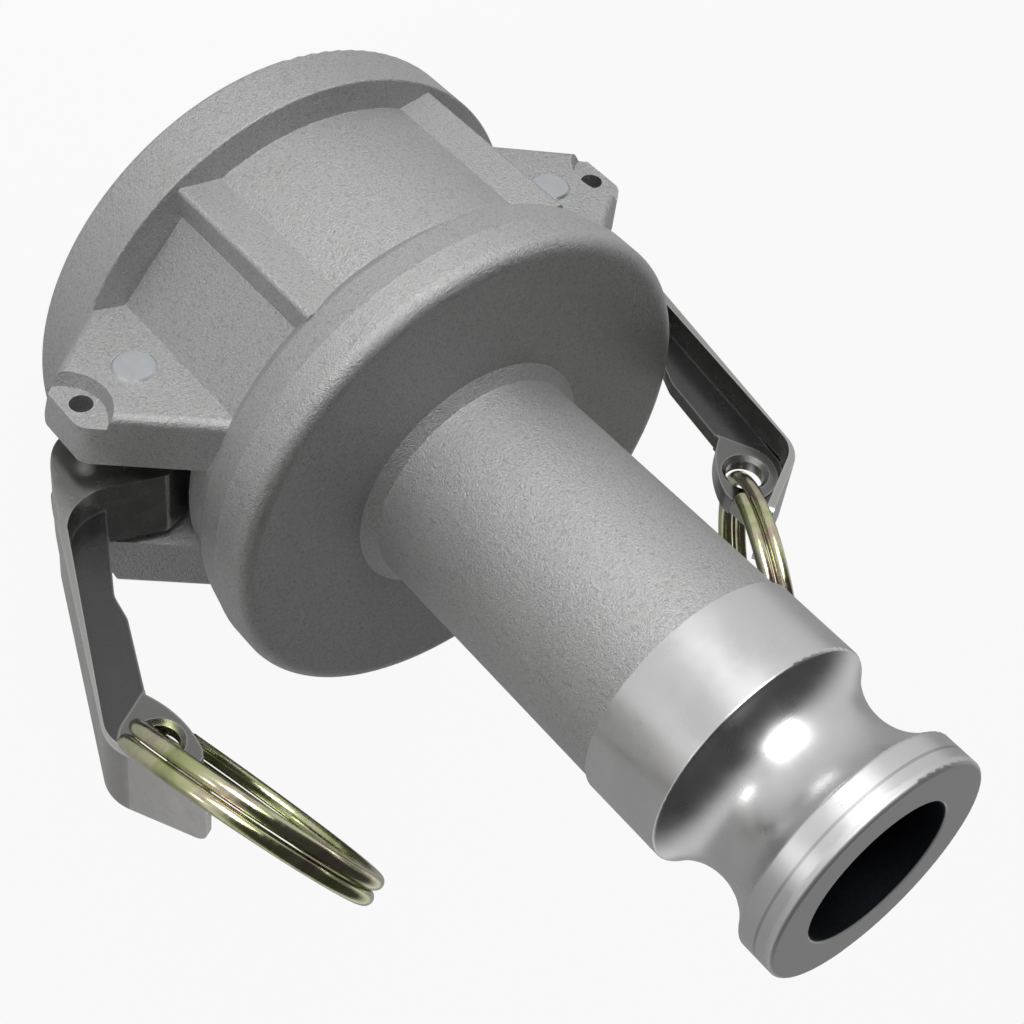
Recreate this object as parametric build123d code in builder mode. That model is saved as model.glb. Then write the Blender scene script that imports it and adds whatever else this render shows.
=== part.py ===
from build123d import *
from math import atan2, cos, degrees, radians, sin, tan
import os

# Cam and groove reducer, in millimetres. The origin is the centre of the coupler's rim face,
# +Z runs along the bore to the male end, and the two cam arms lie on the X axis.

# How far building blocks reach into each other, and cuts run out past a surface
overlap = 1.0

# Inside of the coupler and the bore
socket_radius = 32.0
socket_chamfer = 0.8
socket_land_height = 10.1
socket_relief = 0.9
gasket_grip = 1.35
gasket_width = 7.95
gasket_thickness = 6.35
gasket_edge_radius = 0.7
gasket_side_gap = 0.2
gasket_lip_gap = 0.25
web_thickness = 7.1
throat_depth = 1.0
cone_height = 7.0
bore_radius = 11.65
bore_chamfer = 0.4
gasket_outer_radius = socket_radius + gasket_grip
gasket_inner_radius = gasket_outer_radius - gasket_width

# Coupler outside, from the rim face upwards
neck_wall = 3.8
rim_step = 3.9
disc_step = 3.7
neck_radius = socket_radius + neck_wall
rim_radius = neck_radius + rim_step
disc_radius = neck_radius + disc_step
rim_height = 8.9
rim_slope_height = 1.4
rim_edge_radius = 0.8
rim_rear_edge_radius = 0.4
neck_length = 26.9
disc_slope_height = 2.5
disc_draft = 1.1
disc_draft_height = 5.0
disc_rear_edge_radius = 1.5
disc_width = 11.3
disc_edge_radius = 2.5

# Flats on the neck: a shoulder at front and back, and four chord flats beside the lugs
shoulder_half_width = 21.9
shoulder_sink = 3.5
shoulder_half_depth = neck_radius - shoulder_sink
shoulder_corner_radius = 0.7
chord_sink = 1.0
chord_distance = neck_radius - chord_sink
chord_angle = 39.0

# Barrel and male end
root_radius = 19.5
root_height = 1.5
barrel_root_radius = 17.55
barrel_end_radius = 17.8
barrel_length = 47.3
adapter_radius = 18.35
collar_length = 13.3
groove_width = 15.8
groove_depth = 4.1
nose_length = 5.8
nose_edge_radius = 0.6

# Pivot pins of the cam arms
pin_clear_of_neck = 1.2
pin_offset = neck_radius + pin_clear_of_neck
pin_height = 21.6
pin_radius = 3.175
pin_proud = 0.3
pin_chamfer = 0.35
pin_groove_count = 24
pin_groove_depth = 0.22
pin_groove_margin = 1.2

# Lugs: two cheeks on each side with the cam arm between them
slot_half_width = 7.75
cheek_outer = 16.6
cheek_past_pin = 11.3
cheek_reach = pin_offset + cheek_past_pin
cheek_root_depth = 6.0
cheek_top_drop = 1.6
cheek_top_angle = 38.3
cheek_rim_angle = 39.4
cheek_flare_angle = 16.4
cheek_end_radius = 2.8
cheek_edge_radius = 1.4
window_bottom = 11.0
window_top = 33.0

# Round recess for a safety clip in the end of each cheek, and the clip's hole
recess_radius = 7.4
recess_floor_radius = 6.6
recess_depth = 2.1
recess_reach = 12.8
recess_rise = 1.5
clip_hole_radius = 1.65
clip_hole_reach = 8.6
clip_hole_rise = 0.4

# Cam arm, measured from its pivot: along the arm, and outwards from its centre line
arm_half_width = 5.55
arm_pin_gap = 0.06
hub_radius = 4.8
hub_heel_angle = 136.0
lobe_radius = 5.7
lobe_along = 0.4
lobe_inward = 4.3
lobe_flank_angle = -41.3
shoulder_along = 11.2
shoulder_out = 4.1
shoulder_end_along = 9.6
shoulder_end_out = -3.8
shoulder_edge_radius = 1.2
shoulder_arc_along = 13.2
shoulder_arc_out = 7.7
flange_start_along = 18.0
flange_start_out = 11.16
flange_corner_along = 54.84
flange_corner_out = 6.48
flange_corner_radius = 6.5
flange_thickness = 1.2
heel_waist_along = -1.0
heel_waist_out = 8.0
heel_rise_along = 2.0
heel_rise_out = 10.9
heel_along = 7.0
heel_out = 11.9
tab_length = 13.9
tab_angle = 57.5
tab_corner_radius = 1.6
tab_edge_margin = 0.6
web_half_thickness = 1.1
web_root_out = 4.8
web_disc_along = 27.0
web_disc_gap = 1.8
web_disc_out = disc_radius - pin_offset + web_disc_gap
web_neck_along = 31.0
web_neck_drop = 1.55
web_neck_out = web_disc_out - web_neck_drop
web_neck_radius = 4.0
web_bend_along = 44.0
web_bend_out = 1.1
web_foot_along = 48.8
web_foot_out = -3.4
web_toe_along = 53.2
web_toe_out = -5.4
web_corner_gap = 2.5
pad_half_thickness = 1.5
pad_radius = 5.8
pad_centre_along = 50.9
pad_centre_out = -0.9
pad_nose_along = 43.2
pad_nose_out = 1.3
pad_shoulder_along = 47.8
pad_shoulder_out = 4.0
ring_hole_along = 51.4
ring_hole_radius = 2.85
ring_hole_chamfer = 0.65
panel_half_width = 3.4
panel_start = 15.0
panel_end = 47.5
panel_depth = 0.4

# Where the arms stand: angle from the bore's axis, and side play in the slot
left_arm_angle = 29.4
right_arm_angle = -2.9
left_arm_shift = -0.5
right_arm_shift = -1.6

# Pull rings: a wire wound nearly twice round, passing once through the arm's hole
ring_radius = 17.3
wire_radius = 1.03
ring_pitch = 2.2
left_ring_gaps = (34.0, 18.0)
left_ring_seat = (-1.42, 0.03, 0.0)
left_ring_away = (0.168, 0.131, 0.977)
left_ring_along = (-0.522, 0.853, -0.025)
right_ring_gaps = (37.0, 37.0)
right_ring_seat = (-0.73, -0.80, 0.0)
right_ring_away = (-0.289, -0.618, 0.731)
right_ring_along = (-0.403, 0.771, 0.493)

# Heights that follow from the lengths above
neck_base = rim_height + rim_slope_height
neck_top = neck_base + neck_length
disc_base = neck_top + disc_slope_height
disc_face = disc_base + disc_width
root_top = disc_face + root_height
collar_base = disc_face + barrel_length
groove_base = collar_base + collar_length
groove_top = groove_base + groove_width
nose_face = groove_top + nose_length
seat_height = disc_face - web_thickness
recess_base = seat_height - gasket_thickness - gasket_lip_gap
gasket_recess_radius = gasket_outer_radius + gasket_side_gap

os.makedirs("parts", exist_ok=True)


def round_corner(point, radius):
    """Rounds the corner of the current sketch that lies nearest to a point."""
    fillet(vertices().sort_by_distance(point)[0], radius=radius)


# Body: one casting, turned inside and at the male end
with BuildPart() as cheek:
    top_slope = tan(radians(cheek_top_angle))
    rim_slope = tan(radians(cheek_rim_angle))
    inside = neck_radius - cheek_root_depth
    top_start = neck_top - cheek_top_drop
    top_end = top_start - (cheek_reach - neck_radius) * top_slope
    rim_end = rim_height + (cheek_reach - rim_radius) * rim_slope
    with BuildSketch(Plane.XZ.offset(-cheek_outer)):
        with BuildLine():
            Polyline(
                (inside, rim_height - overlap),
                (rim_radius - overlap, rim_height - overlap),
                (rim_radius - overlap, rim_height - overlap * rim_slope),
                (cheek_reach, rim_end),
                (cheek_reach, top_end),
                (inside, top_start + cheek_root_depth * top_slope),
                close=True,
            )
        make_face()
        round_corner((cheek_reach, top_end), cheek_end_radius)
        round_corner((cheek_reach, rim_end), cheek_end_radius)
    extrude(amount=cheek_outer - slot_half_width)
    flare_tilt = tan(radians(cheek_flare_angle))
    flare_point = (rim_radius, slot_half_width, rim_height)
    with BuildSketch(Plane(origin=flare_point, z_dir=(rim_slope, flare_tilt, -1))):
        Rectangle(4 * cheek_outer, 4 * cheek_outer)
    extrude(amount=cheek_outer, mode=Mode.SUBTRACT)
    outer_face_edges = edges().filter_by(
        lambda edge: abs(edge.center().Y - cheek_outer) < 0.001
        and edge.center().X > neck_radius + overlap
    )
    fillet(outer_face_edges, radius=cheek_edge_radius)

with BuildPart() as body:
    with BuildSketch(Plane.XZ):
        with BuildLine():
            Polyline(
                (adapter_radius, groove_top),
                (adapter_radius, nose_face),
                (0, nose_face),
                (0, 0),
                (rim_radius, 0),
                (rim_radius, rim_height),
                (neck_radius, neck_base),
                (neck_radius, neck_top),
                (disc_radius - disc_draft, disc_base),
                (disc_radius, disc_base + disc_draft_height),
                (disc_radius, disc_face),
                (root_radius, disc_face),
                (barrel_root_radius, root_top),
                (barrel_end_radius, collar_base),
                (adapter_radius, collar_base),
                (adapter_radius, groove_base),
            )
            ThreePointArc(
                (adapter_radius, groove_base),
                (adapter_radius - groove_depth, (groove_base + groove_top) / 2),
                (adapter_radius, groove_top),
            )
        make_face()
        round_corner((rim_radius, 0), rim_edge_radius)
        round_corner((rim_radius, rim_height), rim_rear_edge_radius)
        round_corner((disc_radius - disc_draft, disc_base), disc_rear_edge_radius)
        round_corner((disc_radius, disc_face), disc_edge_radius)
        round_corner((adapter_radius, nose_face), nose_edge_radius)
        round_corner((adapter_radius, groove_top), nose_edge_radius)
        round_corner((adapter_radius, groove_base), nose_edge_radius)
    revolve(axis=Axis.Z)

    # Chord flats cut into the neck beside the lugs
    chord_x = cos(radians(chord_angle))
    chord_y = sin(radians(chord_angle))
    chord_start = (chord_distance - shoulder_half_width * chord_x) / chord_y
    chord_end = (chord_distance - cheek_outer * chord_y) / chord_x
    with BuildSketch(Plane.XY.offset(neck_base)):
        with BuildLine():
            Polyline(
                (shoulder_half_width, chord_start),
                (chord_end, cheek_outer),
                (rim_radius, cheek_outer),
                (rim_radius, rim_radius),
                (shoulder_half_width, rim_radius),
                close=True,
            )
        make_face()
        mirror(about=Plane.XZ)
        mirror(about=Plane.YZ)
    extrude(amount=neck_length, mode=Mode.SUBTRACT)

    # Shoulders at front and back
    with BuildSketch(Plane.XY.offset(rim_height)):
        RectangleRounded(2 * shoulder_half_width, 2 * shoulder_half_depth, shoulder_corner_radius)
    extrude(amount=disc_base - rim_height)

    # Four cheeks
    add(cheek.part)
    add(mirror(cheek.part, about=Plane.XZ, mode=Mode.PRIVATE))
    add(mirror(cheek.part, about=Plane.YZ, mode=Mode.PRIVATE))
    opposite_cheek = mirror(cheek.part, about=Plane.XZ, mode=Mode.PRIVATE)
    add(mirror(opposite_cheek, about=Plane.YZ, mode=Mode.PRIVATE))

    # Socket, gasket recess, throat, cone and bore
    with BuildSketch(Plane.XZ):
        with BuildLine():
            Polyline(
                (0, -overlap),
                (socket_radius + socket_chamfer + overlap, -overlap),
                (socket_radius, socket_chamfer),
                (socket_radius, socket_chamfer + socket_land_height),
                (socket_radius + socket_relief, socket_chamfer + socket_land_height),
                (socket_radius + socket_relief, recess_base),
                (gasket_recess_radius, recess_base),
                (gasket_recess_radius, seat_height),
                (gasket_inner_radius, seat_height),
                (gasket_inner_radius, seat_height + throat_depth),
                (bore_radius, seat_height + throat_depth + cone_height),
                (bore_radius, nose_face - bore_chamfer),
                (bore_radius + bore_chamfer + overlap, nose_face + overlap),
                (0, nose_face + overlap),
                close=True,
            )
        make_face()
    revolve(axis=Axis.Z, mode=Mode.SUBTRACT)

    # Windows that let the cams reach into the socket
    with BuildSketch(Plane.XZ):
        for side in (-1, 1):
            with Locations((side * (rim_radius + socket_radius) / 2, (window_bottom + window_top) / 2)):
                Rectangle(2 * (rim_radius - socket_radius), window_top - window_bottom)
    extrude(amount=slot_half_width, both=True, mode=Mode.SUBTRACT)

    # Pin holes, clip recesses and clip holes through the cheeks
    for side in (-1, 1):
        for face in (-1, 1):
            cheek_plane = Plane(origin=(0, face * cheek_outer, 0), x_dir=(side, 0, 0), z_dir=(0, face, 0))
            rise = side * face
            with BuildSketch(cheek_plane):
                with Locations((pin_offset, -rise * pin_height)):
                    Circle(pin_radius)
            extrude(amount=-(cheek_outer - slot_half_width), mode=Mode.SUBTRACT)
            with BuildSketch(cheek_plane):
                with Locations((pin_offset + recess_reach, -rise * (pin_height + recess_rise))):
                    Circle(recess_radius)
            with BuildSketch(cheek_plane.offset(-recess_depth)):
                with Locations((pin_offset + recess_reach, -rise * (pin_height + recess_rise))):
                    Circle(recess_floor_radius)
            loft(mode=Mode.SUBTRACT)
            with BuildSketch(cheek_plane):
                with Locations((pin_offset + clip_hole_reach, -rise * (pin_height + clip_hole_rise))):
                    Circle(clip_hole_radius)
            extrude(amount=-(cheek_outer - slot_half_width), mode=Mode.SUBTRACT)
body.part.label = "body"
export_step(body.part, "parts/body.step")

# Gasket: a flat ring held in its recess against the seat
with BuildPart() as gasket:
    with BuildSketch(Plane.XZ):
        gasket_middle = (gasket_outer_radius + gasket_inner_radius) / 2
        with Locations((gasket_middle, seat_height - gasket_thickness / 2)):
            RectangleRounded(gasket_width, gasket_thickness, gasket_edge_radius)
    revolve(axis=Axis.Z)
gasket.part.label = "gasket"
export_step(gasket.part, "parts/gasket.step")


def make_pin(name, side):
    """A grooved pin pressed into both cheeks of one lug."""
    length = 2 * (cheek_outer + pin_proud)
    pin_plane = Plane(origin=(side * pin_offset, 0, pin_height), z_dir=(0, 1, 0))
    with BuildPart() as pin:
        with BuildSketch(pin_plane):
            Circle(pin_radius)
        extrude(amount=length / 2, both=True)
        chamfer(edges().filter_by(GeomType.CIRCLE), length=pin_chamfer)
        groove_length = cheek_outer - pin_groove_margin - slot_half_width
        for end in (-1, 1):
            groove_plane = pin_plane.offset(end * (slot_half_width + groove_length / 2))
            with BuildSketch(groove_plane):
                with PolarLocations(pin_radius, pin_groove_count):
                    Rectangle(2 * pin_groove_depth, 2 * pin_groove_depth, rotation=45)
            extrude(amount=groove_length / 2, both=True, mode=Mode.SUBTRACT)
    pin.part.label = name
    export_step(pin.part, "parts/" + name + ".step")
    return pin


def flange_point(along, depth):
    """A point at a depth under the straight outer face of the arm's flange."""
    run = flange_corner_along - flange_start_along
    slope = (flange_corner_out - flange_start_out) / run
    return (along, flange_start_out + slope * (along - flange_start_along) - depth)


def tab_point(distance, depth):
    """A point at a distance from the flange's corner, at a depth under the tab's outer face."""
    angle = radians(tab_angle)
    along = flange_corner_along + distance * cos(angle) - depth * sin(angle)
    out = flange_corner_out - distance * sin(angle) - depth * cos(angle)
    return (along, out)


def hub_point(angle):
    """A point on the edge of the arm's hub, at an angle from the arm's direction."""
    return (hub_radius * cos(radians(angle)), hub_radius * sin(radians(angle)))


def make_arm(name, arm_plane):
    """A cam arm: a thick cam head, then a flange with a thin web, a ring hole and a bent tab."""
    flange_run = flange_corner_along - flange_start_along
    flange_fall = degrees(atan2(flange_start_out - flange_corner_out, flange_run))
    bend_setback = flange_thickness * tan(radians(tab_angle - flange_fall) / 2)
    corner_inside = tab_point(-bend_setback, flange_thickness)
    lobe_flank = (
        lobe_along + lobe_radius * cos(radians(lobe_flank_angle)),
        -lobe_inward + lobe_radius * sin(radians(lobe_flank_angle)),
    )
    with BuildPart() as arm:
        # Cam head with its hub, lobe, shoulder and the fillet into the flange
        with BuildSketch(arm_plane):
            Circle(hub_radius)
            with Locations((lobe_along, -lobe_inward)):
                Circle(lobe_radius)
            with BuildLine():
                Spline(
                    hub_point(hub_heel_angle),
                    (heel_waist_along, heel_waist_out),
                    (heel_rise_along, heel_rise_out),
                    (heel_along, heel_out),
                    (flange_start_along, flange_start_out),
                )
                Line(
                    (flange_start_along, flange_start_out),
                    flange_point(flange_start_along, flange_thickness),
                )
                ThreePointArc(
                    flange_point(flange_start_along, flange_thickness),
                    (shoulder_arc_along, shoulder_arc_out),
                    (shoulder_along, shoulder_out),
                )
                Polyline(
                    (shoulder_along, shoulder_out),
                    (shoulder_end_along, shoulder_end_out),
                    lobe_flank,
                    (0, 0),
                    hub_point(hub_heel_angle),
                )
            make_face()
            round_corner((shoulder_end_along, shoulder_end_out), shoulder_edge_radius)
        extrude(amount=arm_half_width, both=True)

        # Outer flange and bent tab
        with BuildSketch(arm_plane):
            with BuildLine():
                Polyline(
                    flange_point(flange_start_along - overlap, 0),
                    (flange_corner_along, flange_corner_out),
                    tab_point(tab_length, 0),
                    tab_point(tab_length, flange_thickness),
                    corner_inside,
                    flange_point(flange_start_along - overlap, flange_thickness),
                    close=True,
                )
            make_face()
            round_corner((flange_corner_along, flange_corner_out), flange_corner_radius)
            round_corner(corner_inside, flange_corner_radius - flange_thickness)
        extrude(amount=arm_half_width, both=True)

        # Thin web along the middle of the flange
        with BuildSketch(arm_plane):
            with BuildLine():
                Polyline(
                    (web_toe_along, web_toe_out),
                    tab_point(tab_length - tab_edge_margin, flange_thickness / 2),
                    tab_point(web_corner_gap, flange_thickness / 2),
                    flange_point(flange_corner_along - web_corner_gap, flange_thickness / 2),
                    flange_point(shoulder_end_along, flange_thickness / 2),
                    (shoulder_along - overlap, web_root_out),
                    (web_disc_along, web_disc_out),
                    (web_neck_along, web_neck_out),
                    (web_bend_along, web_bend_out),
                )
                ThreePointArc(
                    (web_bend_along, web_bend_out),
                    (web_foot_along, web_foot_out),
                    (web_toe_along, web_toe_out),
                )
            make_face()
            round_corner((web_neck_along, web_neck_out), web_neck_radius)
            round_corner((web_disc_along, web_disc_out), web_neck_radius)
        extrude(amount=web_half_thickness, both=True)

        # Pad round the ring hole, cut off along the web's inner edge
        with BuildSketch(arm_plane):
            with Locations((pad_centre_along, pad_centre_out)):
                Circle(pad_radius)
            with BuildLine():
                Polyline(
                    (pad_nose_along, pad_nose_out),
                    (pad_shoulder_along, pad_shoulder_out),
                    (pad_centre_along, pad_centre_out),
                    (web_foot_along, web_foot_out),
                    close=True,
                )
            make_face()
            with BuildLine():
                Line((web_neck_along, web_neck_out), (web_bend_along, web_bend_out))
                ThreePointArc(
                    (web_bend_along, web_bend_out),
                    (web_foot_along, web_foot_out),
                    (web_toe_along, web_toe_out),
                )
                Polyline(
                    (web_toe_along, web_toe_out),
                    (web_toe_along + pad_radius, web_toe_out),
                    (web_toe_along + pad_radius, web_toe_out - 2 * pad_radius),
                    (web_neck_along, web_toe_out - 2 * pad_radius),
                    (web_neck_along, web_neck_out),
                )
            make_face(mode=Mode.SUBTRACT)
        extrude(amount=pad_half_thickness, both=True)

        # Pin hole and ring hole
        with BuildSketch(arm_plane):
            Circle(pin_radius + arm_pin_gap)
            with Locations((ring_hole_along, 0)):
                Circle(ring_hole_radius)
        extrude(amount=2 * arm_half_width, both=True, mode=Mode.SUBTRACT)
        hole_rims = edges().filter_by(
            lambda edge: edge.geom_type == GeomType.CIRCLE and abs(edge.radius - ring_hole_radius) < 0.001
        )
        chamfer(hole_rims, length=ring_hole_chamfer)

        # Shallow panel sunk in the outer face
        run = Vector(flange_corner_along - flange_start_along, flange_corner_out - flange_start_out)
        face_angle = Vector(1, 0).get_signed_angle(run)
        start = flange_point(panel_start, 0)
        panel_origin = arm_plane.from_local_coords(Vector(start[0], start[1], 0))
        along_dir = arm_plane.x_dir.rotate(Axis((0, 0, 0), arm_plane.z_dir), face_angle)
        out_dir = arm_plane.z_dir.cross(along_dir)
        panel_plane = Plane(origin=panel_origin, x_dir=along_dir, z_dir=out_dir)
        panel_length = panel_end - panel_start
        with BuildSketch(panel_plane.offset(overlap)):
            with Locations((panel_length / 2, 0)):
                SlotOverall(panel_length, 2 * panel_half_width)
        extrude(amount=-overlap - panel_depth, mode=Mode.SUBTRACT)

        # Rounded corners at the end of the tab
        tab_end = tab_point(tab_length, flange_thickness / 2)
        for face in (-1, 1):
            corner = arm_plane.from_local_coords(Vector(tab_end[0], tab_end[1], face * arm_half_width))
            fillet(edges().sort_by_distance(corner)[0], radius=tab_corner_radius)
    arm.part.label = name
    export_step(arm.part, "parts/" + name + ".step")
    return arm


def make_ring(name, arm_plane, seat, away, along, gaps):
    """A split ring: its middle lies away from the arm's hole, and its wire runs along through it.

    The gaps are the angles by which its two free ends stop short of the hole.
    """
    hole = arm_plane.from_local_coords(Vector(ring_hole_along, 0, 0) + Vector(*seat))
    away = Vector(*away).normalized()
    along = (Vector(*along) - away * away.dot(Vector(*along))).normalized()
    axis = along.cross(away)
    centre = hole + away * ring_radius
    turns_before = 1 - gaps[0] / 360
    turns_after = 1 - gaps[1] / 360
    height = ring_pitch * (turns_before + turns_after)
    start = (away * -1).rotate(Axis((0, 0, 0), axis), gaps[0])
    coil_plane = Plane(origin=centre - axis * (ring_pitch * turns_before), x_dir=start, z_dir=axis)
    coil = coil_plane * Helix(pitch=ring_pitch, height=height, radius=ring_radius)
    with BuildPart() as ring:
        with BuildSketch(Plane(origin=coil @ 0, z_dir=coil % 0)):
            Circle(wire_radius)
        sweep(path=coil, is_frenet=True)
    ring.part.label = name
    export_step(ring.part, "parts/" + name + ".step")
    return ring


left_angle = radians(left_arm_angle)
right_angle = radians(right_arm_angle)
left_plane = Plane(
    origin=(-pin_offset, left_arm_shift, pin_height),
    x_dir=(-sin(left_angle), 0, cos(left_angle)),
    z_dir=(0, -1, 0),
)
right_plane = Plane(
    origin=(pin_offset, right_arm_shift, pin_height),
    x_dir=(sin(right_angle), 0, cos(right_angle)),
    z_dir=(0, 1, 0),
)
make_pin("pivot_pin_left", -1)
make_pin("pivot_pin_right", 1)
make_arm("cam_arm_left", left_plane)
make_arm("cam_arm_right", right_plane)
make_ring(
    "pull_ring_left",
    left_plane,
    left_ring_seat,
    left_ring_away,
    left_ring_along,
    left_ring_gaps,
)
make_ring(
    "pull_ring_right",
    right_plane,
    right_ring_seat,
    right_ring_away,
    right_ring_along,
    right_ring_gaps,
)
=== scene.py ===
import bpy
from mathutils import Matrix, Vector


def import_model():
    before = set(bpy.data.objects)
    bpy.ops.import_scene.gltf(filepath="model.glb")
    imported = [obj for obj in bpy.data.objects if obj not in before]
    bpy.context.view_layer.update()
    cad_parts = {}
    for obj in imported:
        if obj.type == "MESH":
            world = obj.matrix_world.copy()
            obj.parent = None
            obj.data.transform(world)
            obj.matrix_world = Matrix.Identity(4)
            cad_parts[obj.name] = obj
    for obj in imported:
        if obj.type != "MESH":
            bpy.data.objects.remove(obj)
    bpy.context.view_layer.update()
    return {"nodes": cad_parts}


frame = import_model()

# Heights and radii on the body, in metres, as the part has them
COLLAR_BASE = 0.0983
NOSE_FACE = 0.1332
NOSE_LINE = 0.1303
BORE_RADIUS = 0.01165
SOCKET_RADIUS = 0.0320
SEAT_HEIGHT = 0.0439

# Cam arms: their middle planes across the slots, and the half thickness of web and pad
LEFT_ARM_MIDDLE = -0.0005
RIGHT_ARM_MIDDLE = -0.0016
WEB_HALF = 0.0011
PAD_HALF = 0.0015

# Where one finish goes over into the next, in metres from the edges above
COLLAR_BLEND = (-0.00004, 0.00004)
FACED_BLEND = (-0.0002, -0.0001)
NOSE_EDGE_BLEND = (-0.0014, -0.0009)
NOSE_LINE_BLEND = (0.00028, 0.00012)
WALL_BLEND = (0.0003, 0.0001)
PAD_BLEND = (0.0004, 0.0002)
SEAT_BLEND = (0.001, 0.0)

# How far inwards a surface faces to count as the socket's wall, as shares of the socket's radius
FACING_IN = (-0.8, -0.9)

# How squarely a surface faces along Y to count as an arm's flat side
FLAT_SHARE = (0.80, 0.92)

# Worn edges, partly wear and partly painted edge highlight: how far the lighter edge reaches from
# an edge, and the turn of the surface that shows it
BODY_WEAR_AND_HIGHLIGHT = 0.0006
ARM_WEAR_AND_HIGHLIGHT = 0.0005
EDGE_TURN = (0.985, 0.90)
EDGE_SAMPLES = 4

# Noises: scale for a metre, detail, roughness, and for one of them distortion
CAST_GRAIN = (4300.0, 2.0, 0.7)
CAST_PITS = (1700.0, 2.0, 0.6)
CAST_CLOUDS = (55.0, 4.0, 0.6)
CAST_GLINTS = (5200.0, 1.0, 0.5)
TOOL_MARKS = (1.0, 2.0, 0.6)
TOOL_STRETCH = (6.0, 6.0, 5200.0)
TURNED_SMEARS = (130.0, 3.0, 0.6)
ARM_RIPPLE = (220.0, 3.0, 0.55)
ARM_GRAIN = (2400.0, 2.0, 0.6)
ARM_CLOUDS = (70.0, 3.0, 0.6)
PIN_SCUFFS = (900.0, 3.0, 0.65)
PIN_CLOUDS = (160.0, 2.0, 0.5)
ZINC_DRIFT = (120.0, 3.0, 0.6, 0.6)
ZINC_GRAIN = (1500.0, 2.0, 0.5)
RUBBER_MOTTLE = (700.0, 3.0, 0.6)

# The middle of a noise, where most of its values lie, and the parts of it that show as marks
NOISE_MIDDLE = (0.3, 0.7)
GLINT_BAND = (0.64, 0.72)
WORN_AND_HIGHLIGHT_BAND = (0.35, 0.6)
GRAIN_BAND = (0.30, 0.72)
PIT_BAND = (0.48, 0.30)

# Bumps: height in metres and strength
CAST_GRAIN_BUMP = (0.00020, 0.8)
CAST_PIT_BUMP = (0.00025, 0.35)
TOOL_BUMP = (0.000012, 0.5)
ARM_RIPPLE_BUMP = (0.00012, 0.35)
ARM_GRAIN_BUMP = (0.00002, 0.35)
PIN_BUMP = (0.00004, 0.4)
ZINC_BUMP = (0.00002, 0.3)
RUBBER_BUMP = (0.00003, 0.5)

# Roughness of each finish, from its glossiest to its dullest places
CAST_ROUGHNESS = (0.50, 0.60)
TURNED_ROUGHNESS = (0.24, 0.34)
NOSE_EDGE_ROUGHNESS = 0.55
BORE_ROUGHNESS = 0.75
ARM_ROUGHNESS = (0.20, 0.32)
PIN_ROUGHNESS = (0.34, 0.5)
ZINC_ROUGHNESS = (0.14, 0.24)
RUBBER_ROUGHNESS = (0.55, 0.7)

# Blasted casting
CAST_DARK = (0.40, 0.405, 0.40, 1)
CAST_LIGHT = (0.48, 0.485, 0.48, 1)
CAST_GRAIN_COLOUR = (0.58, 0.585, 0.58, 1)
CAST_PIT_COLOUR = (0.26, 0.26, 0.26, 1)
# Painted glints: light flecks in the casting's colour
CAST_PAINTED_GLINT_COLOUR = (0.8, 0.8, 0.8, 1)
# Edges made lighter, partly wear and partly painted highlight
CAST_WORN_AND_HIGHLIGHT_COLOUR = (0.75, 0.75, 0.75, 1)
PIT_SHARE = 0.35
PAINTED_GLINT_SHARE = 0.4
WORN_AND_HIGHLIGHT_SHARE = 0.25

# Turned male end and socket, and painted shade inside the bore
TURNED_DARK = (0.60, 0.60, 0.60, 1)
TURNED_LIGHT = (0.70, 0.70, 0.71, 1)
FACED_COLOUR = (0.88, 0.88, 0.88, 1)
# A thin line of painted shade near the nose, standing in for a fine groove
NOSE_GROOVE_SHADE_COLOUR = (0.30, 0.30, 0.31, 1)
NOSE_GROOVE_SHADE_SHARE = 0.6
SOCKET_SHARE = 0.7
# Painted shade for the bore's wall, near black
BORE_PAINTED_SHADE_DARK = (0.012, 0.013, 0.018, 1)
BORE_PAINTED_SHADE_LIGHT = (0.030, 0.032, 0.040, 1)

# Tumbled stainless arms, with painted shade, a dark colour, on the flat sides of the sunk web and
# pad
ARM_DARK = (0.38, 0.375, 0.365, 1)
ARM_LIGHT = (0.47, 0.465, 0.455, 1)
PAD_PAINTED_SHADE = (0.12, 0.12, 0.12, 1)
WEB_PAINTED_SHADE = (0.06, 0.06, 0.062, 1)
# Arm edges made lighter, partly wear and partly painted highlight
ARM_WORN_AND_HIGHLIGHT_COLOUR = (0.72, 0.72, 0.71, 1)
PAD_PAINTED_SHADE_SHARE = 0.75
WEB_PAINTED_SHADE_SHARE = 0.65
ARM_WORN_AND_HIGHLIGHT_SHARE = 0.4

# Drawn steel pins and moulded rubber
PIN_DARK = (0.55, 0.58, 0.60, 1)
PIN_LIGHT = (0.68, 0.70, 0.72, 1)
RUBBER_DARK = (0.018, 0.018, 0.019, 1)
RUBBER_LIGHT = (0.035, 0.035, 0.036, 1)

# Yellow passivated zinc, whose tint drifts between green, gold and pink
ZINC_TINTS = (
    (0.30, (0.26, 0.32, 0.16, 1)),
    (0.42, (0.46, 0.48, 0.24, 1)),
    (0.52, (0.58, 0.58, 0.38, 1)),
    (0.60, (0.52, 0.42, 0.34, 1)),
    (0.70, (0.34, 0.40, 0.22, 1)),
)

# Floor: its half width, its own colour, how white the camera sees it, and the painted pool of
# light, brighter towards +Y, that metal sees on it
FLOOR_HALF = 1.5
FLOOR_COLOUR = (0.8, 0.8, 0.8, 1)
FLOOR_SEEN = 0.92
FLOOR_PAINTED_POOL_SPAN = (-0.06, 0.13)
FLOOR_PAINTED_POOL_DIM = 0.10
FLOOR_PAINTED_POOL_BRIGHT = 0.62

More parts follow.
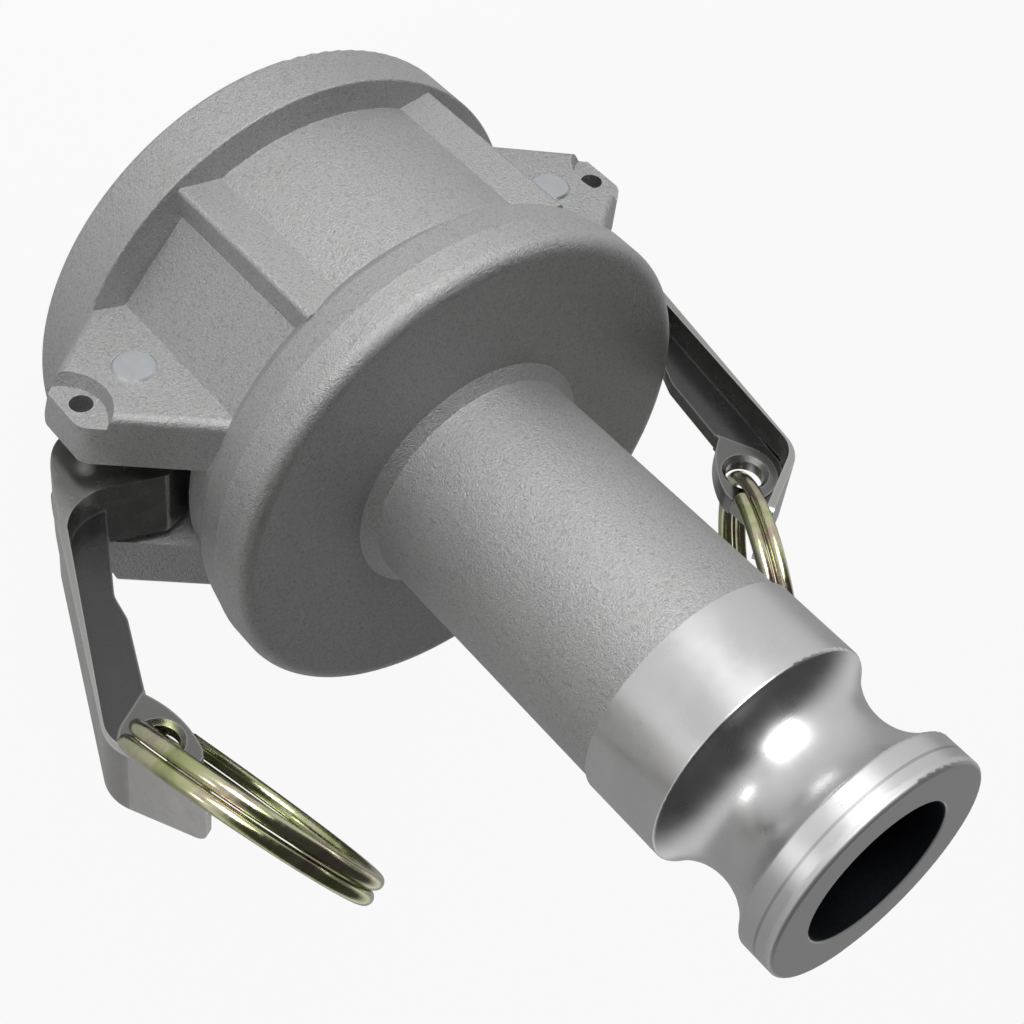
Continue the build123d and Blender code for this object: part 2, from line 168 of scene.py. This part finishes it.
# Room: white to the camera. Metal sees it pale low down and dark overhead.
ROOM_SEEN = (1, 1, 1, 1)
ROOM_LIGHT = (0.30, 0.30, 0.30, 1)
ROOM_LOW = (0.80, 0.80, 0.80, 1)
ROOM_OVERHEAD = (0.05, 0.05, 0.05, 1)
ROOM_RISE = (0.08, 0.50)

# The photograph's camera
CAMERA_PLACE = Vector((-0.14499, 0.21444, 0.20116))
CAMERA_RIGHT = Vector((0.7698, 0.1082, 0.6291))
CAMERA_UP = Vector((0.4056, 0.6781, -0.6129))
CAMERA_BACK = Vector((-0.4929, 0.7269, 0.4781))
CAMERA_LENS = 73.33
CAMERA_SENSOR = 36.0
CAMERA_NEAR = 0.01
MIDDLE = Vector((0.0, 0.0, 0.066))


class Nodes:
    """A material's or world's node tree, with short calls for the nodes used here."""

    def __init__(self, tree):
        self.tree = tree
        tree.nodes.clear()

    def add(self, kind, **settings):
        node = self.tree.nodes.new(kind)
        for name, value in settings.items():
            setattr(node, name, value)
        return node

    def put(self, socket, value):
        """Links a socket, or sets it to a plain value."""
        if isinstance(value, bpy.types.NodeSocket):
            self.tree.links.new(value, socket)
        else:
            socket.default_value = value

    def math(self, operation, first, second=0.0):
        node = self.add("ShaderNodeMath", operation=operation)
        self.put(node.inputs[0], first)
        self.put(node.inputs[1], second)
        return node.outputs[0]

    def multiply(self, first, second):
        return self.math("MULTIPLY", first, second)

    def distance(self, first, second):
        """How far two numbers lie apart."""
        return self.math("ABSOLUTE", self.math("SUBTRACT", first, second))

    def step(self, value, low, high):
        """0 at low, 1 at high, smooth between."""
        node = self.add("ShaderNodeMapRange", interpolation_type="SMOOTHSTEP")
        self.put(node.inputs["Value"], value)
        self.put(node.inputs["From Min"], low)
        self.put(node.inputs["From Max"], high)
        return node.outputs["Result"]

    def step_at(self, value, edge, blend):
        """A step whose two ends are given from an edge."""
        start, end = blend
        return self.step(value, edge + start, edge + end)

    def spread(self, noise, low, high):
        """Spreads the middle of a noise from low to high."""
        noise_low, noise_high = NOISE_MIDDLE
        node = self.add("ShaderNodeMapRange")
        self.put(node.inputs["Value"], noise)
        self.put(node.inputs["From Min"], noise_low)
        self.put(node.inputs["From Max"], noise_high)
        self.put(node.inputs["To Min"], low)
        self.put(node.inputs["To Max"], high)
        return node.outputs["Result"]

    def noise(self, vector, scale, detail, roughness, distortion=0.0):
        node = self.add("ShaderNodeTexNoise")
        self.put(node.inputs["Vector"], vector)
        self.put(node.inputs["Scale"], scale)
        self.put(node.inputs["Detail"], detail)
        self.put(node.inputs["Roughness"], roughness)
        self.put(node.inputs["Distortion"], distortion)
        return node.outputs["Fac"]

    def mix(self, kind, factor, first, second):
        """Mixes two numbers, colours or vectors, through the sockets switched on for that kind."""
        node = self.add("ShaderNodeMix", data_type=kind)
        wanted = [socket for socket in node.inputs if socket.enabled]
        for socket, value in zip(wanted, (factor, first, second)):
            self.put(socket, value)
        return next(socket for socket in node.outputs if socket.enabled)

    def mix_colours(self, factor, first, second):
        return self.mix("RGBA", factor, first, second)

    def mix_numbers(self, factor, first, second):
        return self.mix("FLOAT", factor, first, second)

    def ramp(self, factor, stops):
        node = self.add("ShaderNodeValToRGB")
        self.put(node.inputs[0], factor)
        elements = node.color_ramp.elements
        while len(elements) < len(stops):
            elements.new(0.5)
        for element, (place, colour) in zip(elements, stops):
            element.position = place
            element.color = colour
        return node.outputs[0]

    def bump(self, height, distance, strength, normal=None):
        node = self.add("ShaderNodeBump")
        self.put(node.inputs["Height"], height)
        self.put(node.inputs["Distance"], distance)
        self.put(node.inputs["Strength"], strength)
        if normal is not None:
            self.put(node.inputs["Normal"], normal)
        return node.outputs["Normal"]

    def parts(self, vector):
        """A vector's shares along X, Y and Z."""
        node = self.add("ShaderNodeSeparateXYZ")
        self.put(node.inputs[0], vector)
        return node.outputs

    def place(self):
        """The point's own coordinates in the row frame."""
        return self.add("ShaderNodeTexCoord").outputs["Object"]

    def own_normal(self):
        """The surface's direction in the row frame, along X, Y and Z."""
        return self.parts(self.add("ShaderNodeTexCoord").outputs["Normal"])

    def across(self, first_x, first_y, second_x, second_y):
        """Two directions across the bore's axis, multiplied and added."""
        return self.math("ADD", self.multiply(first_x, second_x), self.multiply(first_y, second_y))

    def stretched(self, vector, scale):
        node = self.add("ShaderNodeMapping")
        self.put(node.inputs["Vector"], vector)
        self.put(node.inputs["Scale"], scale)
        return node.outputs[0]

    def edge_wear_and_highlight(self, reach):
        """1 on edges within a reach, 0 on open faces; it marks edges that are partly worn and
        partly painted highlight.
        """
        soft = self.add("ShaderNodeBevel", samples=EDGE_SAMPLES)
        soft.inputs["Radius"].default_value = reach
        hard = self.add("ShaderNodeNewGeometry").outputs["Normal"]
        turn = self.add("ShaderNodeVectorMath", operation="DOT_PRODUCT")
        self.put(turn.inputs[0], soft.outputs[0])
        self.put(turn.inputs[1], hard)
        return self.step(turn.outputs["Value"], *EDGE_TURN)


def shader(name):
    """A new material with a Principled shader joined to its output."""
    material = bpy.data.materials.new(name)
    material.use_nodes = True
    nodes = Nodes(material.node_tree)
    output = nodes.add("ShaderNodeOutputMaterial")
    principled = nodes.add("ShaderNodeBsdfPrincipled")
    nodes.put(output.inputs["Surface"], principled.outputs[0])
    return material, nodes, principled.inputs


def dress(node_name, material):
    """Puts a material on a CAD node."""
    slots = frame["nodes"][node_name].data.materials
    slots.clear()
    slots.append(material)


def cast_finish(n, place, pits):
    """Colour, roughness and bump of the blasted casting."""
    grain = n.noise(place, *CAST_GRAIN)
    clouds = n.noise(place, *CAST_CLOUDS)
    # Painted glints: small flecks made lighter in colour
    painted_glints = n.step(n.noise(place, *CAST_GLINTS), *GLINT_BAND)
    # Edges made lighter in colour: partly wear, partly painted highlight
    wear_and_highlight = n.multiply(n.edge_wear_and_highlight(BODY_WEAR_AND_HIGHLIGHT), n.step(grain, *WORN_AND_HIGHLIGHT_BAND))
    sunk = n.multiply(n.step(pits, *PIT_BAND), PIT_SHARE)

    colour = n.mix_colours(clouds, CAST_DARK, CAST_LIGHT)
    colour = n.mix_colours(n.step(grain, *GRAIN_BAND), colour, CAST_GRAIN_COLOUR)
    colour = n.mix_colours(sunk, colour, CAST_PIT_COLOUR)
    colour = n.mix_colours(n.multiply(painted_glints, PAINTED_GLINT_SHARE), colour, CAST_PAINTED_GLINT_COLOUR)
    colour = n.mix_colours(n.multiply(wear_and_highlight, WORN_AND_HIGHLIGHT_SHARE), colour, CAST_WORN_AND_HIGHLIGHT_COLOUR)
    roughness = n.spread(clouds, *CAST_ROUGHNESS)
    bump = n.bump(pits, *CAST_PIT_BUMP, n.bump(grain, *CAST_GRAIN_BUMP))
    return colour, roughness, bump


def turned_finish(n, place, z):
    """Colour, roughness and bump of the turned male end, with its faced end and a thin line of
    painted shade near the nose, standing in for a fine groove.
    """
    marks = n.noise(n.stretched(place, TOOL_STRETCH), *TOOL_MARKS)
    smears = n.noise(place, *TURNED_SMEARS)
    faced = n.step_at(z, NOSE_FACE, FACED_BLEND)
    nose_edge = n.step_at(z, NOSE_FACE, NOSE_EDGE_BLEND)
    # Painted shade: a thin dark line near the nose
    nose_groove_shade = n.step(n.distance(z, NOSE_LINE), *NOSE_LINE_BLEND)

    colour = n.mix_colours(smears, TURNED_DARK, TURNED_LIGHT)
    colour = n.mix_colours(faced, colour, FACED_COLOUR)
    colour = n.mix_colours(n.multiply(nose_groove_shade, NOSE_GROOVE_SHADE_SHARE), colour, NOSE_GROOVE_SHADE_COLOUR)
    roughness = n.mix_numbers(nose_edge, n.spread(smears, *TURNED_ROUGHNESS), NOSE_EDGE_ROUGHNESS)
    return colour, roughness, n.bump(marks, *TOOL_BUMP)


# Body: blasted casting, with the male end and the socket turned bright, and painted shade, near
# black, inside the bore
def body_material():
    material, n, surface = shader("cast_and_turned_aluminium")
    place = n.place()
    x, y, z = n.parts(place)
    radius = n.math("SQRT", n.across(x, y, x, y))
    pits = n.noise(place, *CAST_PITS)
    cast_colour, cast_roughness, cast_bump = cast_finish(n, place, pits)
    turned_colour, turned_roughness, turned_bump = turned_finish(n, place, z)

    normal_x, normal_y = n.own_normal()[:2]
    low, high = [share * SOCKET_RADIUS for share in FACING_IN]
    facing_in = n.step(n.across(x, y, normal_x, normal_y), low, high)
    socket = n.multiply(facing_in, n.step_at(z, SEAT_HEIGHT, SEAT_BLEND))
    turned = n.step_at(z, COLLAR_BASE, COLLAR_BLEND)
    bright = n.math("MAXIMUM", turned, n.multiply(socket, SOCKET_SHARE))
    bore = n.step_at(radius, BORE_RADIUS, WALL_BLEND)

    colour = n.mix_colours(bright, cast_colour, turned_colour)
    # Painted shade: the bore's wall is coloured near black
    colour = n.mix_colours(bore, colour, n.mix_colours(pits, BORE_PAINTED_SHADE_DARK, BORE_PAINTED_SHADE_LIGHT))
    roughness = n.mix_numbers(bright, cast_roughness, turned_roughness)
    n.put(surface["Base Color"], colour)
    n.put(surface["Roughness"], n.mix_numbers(bore, roughness, BORE_ROUGHNESS))
    n.put(surface["Normal"], n.mix("VECTOR", bright, cast_bump, turned_bump))
    surface["Metallic"].default_value = 1.0
    return material


# Cam arms: tumbled stainless casting, satin
def arm_material(name, middle):
    material, n, surface = shader(name)
    place = n.place()
    depth = n.distance(n.parts(place)[1], middle)
    flat = n.step(n.math("ABSOLUTE", n.own_normal()[1]), *FLAT_SHARE)
    # Painted shade: the flat sides of the sunk web and pad are coloured dark
    web_shade = n.multiply(flat, n.step_at(depth, WEB_HALF, WALL_BLEND))
    pad_shade = n.multiply(flat, n.step_at(depth, PAD_HALF, PAD_BLEND))
    ripple = n.noise(place, *ARM_RIPPLE)
    edges = n.edge_wear_and_highlight(ARM_WEAR_AND_HIGHLIGHT)

    colour = n.mix_colours(n.noise(place, *ARM_CLOUDS), ARM_DARK, ARM_LIGHT)
    colour = n.mix_colours(n.multiply(pad_shade, PAD_PAINTED_SHADE_SHARE), colour, PAD_PAINTED_SHADE)
    colour = n.mix_colours(n.multiply(web_shade, WEB_PAINTED_SHADE_SHARE), colour, WEB_PAINTED_SHADE)
    # Edges made lighter in colour: partly wear, partly painted highlight
    colour = n.mix_colours(n.multiply(edges, ARM_WORN_AND_HIGHLIGHT_SHARE), colour, ARM_WORN_AND_HIGHLIGHT_COLOUR)
    height = n.bump(ripple, *ARM_RIPPLE_BUMP)
    n.put(surface["Base Color"], colour)
    n.put(surface["Roughness"], n.spread(ripple, *ARM_ROUGHNESS))
    n.put(surface["Normal"], n.bump(n.noise(place, *ARM_GRAIN), *ARM_GRAIN_BUMP, height))
    surface["Metallic"].default_value = 1.0
    return material


# Pins: drawn steel, with scuffs
def pin_material():
    material, n, surface = shader("drawn_steel")
    place = n.place()
    scuffs = n.noise(place, *PIN_SCUFFS)
    n.put(surface["Base Color"], n.mix_colours(n.noise(place, *PIN_CLOUDS), PIN_DARK, PIN_LIGHT))
    n.put(surface["Roughness"], n.spread(scuffs, *PIN_ROUGHNESS))
    n.put(surface["Normal"], n.bump(scuffs, *PIN_BUMP))
    surface["Metallic"].default_value = 1.0
    return material


# Rings: glossy yellow zinc
def ring_material():
    material, n, surface = shader("yellow_zinc")
    place = n.place()
    fine = n.noise(place, *ZINC_GRAIN)
    n.put(surface["Base Color"], n.ramp(n.noise(place, *ZINC_DRIFT), ZINC_TINTS))
    n.put(surface["Roughness"], n.spread(fine, *ZINC_ROUGHNESS))
    n.put(surface["Normal"], n.bump(fine, *ZINC_BUMP))
    surface["Metallic"].default_value = 1.0
    return material


# Gasket: matt moulded rubber
def gasket_material():
    material, n, surface = shader("moulded_rubber")
    mottle = n.noise(n.place(), *RUBBER_MOTTLE)
    n.put(surface["Base Color"], n.mix_colours(mottle, RUBBER_DARK, RUBBER_LIGHT))
    n.put(surface["Roughness"], n.spread(mottle, *RUBBER_ROUGHNESS))
    n.put(surface["Normal"], n.bump(mottle, *RUBBER_BUMP))
    return material


dress("body", body_material())
dress("gasket", gasket_material())
pin = pin_material()
ring = ring_material()
for side, middle in (("left", LEFT_ARM_MIDDLE), ("right", RIGHT_ARM_MIDDLE)):
    dress("cam_arm_" + side, arm_material("tumbled_stainless_" + side, middle))
    dress("pivot_pin_" + side, pin)
    dress("pull_ring_" + side, ring)


def seen_directly(n, path):
    """1 for what the camera sees, straight on or through something clear."""
    return n.math("MAXIMUM", path.outputs["Is Camera Ray"], path.outputs["Is Transmission Ray"])


# Floor: pale, with the object's faint shadow. Metal sees a painted pool of light on it, a glow
# that is brighter on the +Y side and dimmer away from it.
def floor():
    half = FLOOR_HALF
    corners = [(-half, -half, 0), (half, -half, 0), (half, half, 0), (-half, half, 0)]
    mesh = bpy.data.meshes.new("floor")
    mesh.from_pydata(corners, [], [(0, 1, 2, 3)])
    plane = bpy.data.objects.new("floor", mesh)
    bpy.context.collection.objects.link(plane)
    material = bpy.data.materials.new("pale_floor")
    material.use_nodes = True
    n = Nodes(material.node_tree)
    output = n.add("ShaderNodeOutputMaterial")
    diffuse = n.add("ShaderNodeBsdfDiffuse")
    diffuse.inputs["Color"].default_value = FLOOR_COLOUR
    glow = n.add("ShaderNodeEmission")
    glow.inputs["Strength"].default_value = 1.0
    path = n.add("ShaderNodeLightPath")
    y = n.parts(n.place())[1]
    # Painted pool of light: metal sees the floor glow brighter towards +Y
    painted_pool = n.mix_numbers(n.step(y, *FLOOR_PAINTED_POOL_SPAN), FLOOR_PAINTED_POOL_DIM, FLOOR_PAINTED_POOL_BRIGHT)
    mirrored = n.multiply(path.outputs["Is Glossy Ray"], painted_pool)
    share = n.math("MAXIMUM", n.multiply(seen_directly(n, path), FLOOR_SEEN), mirrored)
    both = n.add("ShaderNodeMixShader")
    n.put(both.inputs[0], share)
    n.put(both.inputs[1], diffuse.outputs[0])
    n.put(both.inputs[2], glow.outputs[0])
    n.put(output.inputs["Surface"], both.outputs[0])
    mesh.materials.append(material)


floor()


def world():
    bpy.context.scene.world = bpy.data.worlds.new("studio")
    bpy.context.scene.world.use_nodes = True
    n = Nodes(bpy.context.scene.world.node_tree)
    output = n.add("ShaderNodeOutputWorld")
    path = n.add("ShaderNodeLightPath")
    rise = n.parts(n.add("ShaderNodeTexCoord").outputs["Generated"])[2]
    mirrored = n.mix_colours(n.step(rise, *ROOM_RISE), ROOM_LOW, ROOM_OVERHEAD)
    room = n.mix_colours(path.outputs["Is Glossy Ray"], ROOM_LIGHT, mirrored)
    background = n.add("ShaderNodeBackground")
    n.put(background.inputs["Color"], n.mix_colours(seen_directly(n, path), room, ROOM_SEEN))
    n.put(output.inputs["Surface"], background.outputs[0])


world()


def lamp(name, across, above, towards, width, height, power):
    """A soft panel beside the object, placed along the photograph's own directions."""
    data = bpy.data.lights.new(name, "AREA")
    data.shape = "RECTANGLE"
    data.size = width
    data.size_y = height
    data.energy = power
    panel = bpy.data.objects.new(name, data)
    bpy.context.collection.objects.link(panel)
    place = MIDDLE + CAMERA_RIGHT * across + CAMERA_UP * above + CAMERA_BACK * towards
    panel.location = place
    panel.rotation_euler = (MIDDLE - place).to_track_quat("-Z", "Y").to_euler()


lamp("key_panel", across=0.10, above=0.40, towards=0.60, width=0.45, height=0.45, power=3.5)
lamp("side_panel", across=-0.55, above=0.05, towards=0.35, width=0.20, height=0.45, power=1.2)


camera_data = bpy.data.cameras.new("camera")
camera_data.lens = CAMERA_LENS
camera_data.sensor_width = CAMERA_SENSOR
camera_data.clip_start = CAMERA_NEAR
camera = bpy.data.objects.new("camera", camera_data)
bpy.context.collection.objects.link(camera)
turn = Matrix((CAMERA_RIGHT, CAMERA_UP, CAMERA_BACK)).transposed()
camera.matrix_world = Matrix.Translation(CAMERA_PLACE) @ turn.to_4x4()
bpy.context.scene.camera = camera

bpy.context.scene.view_settings.view_transform = "Standard"
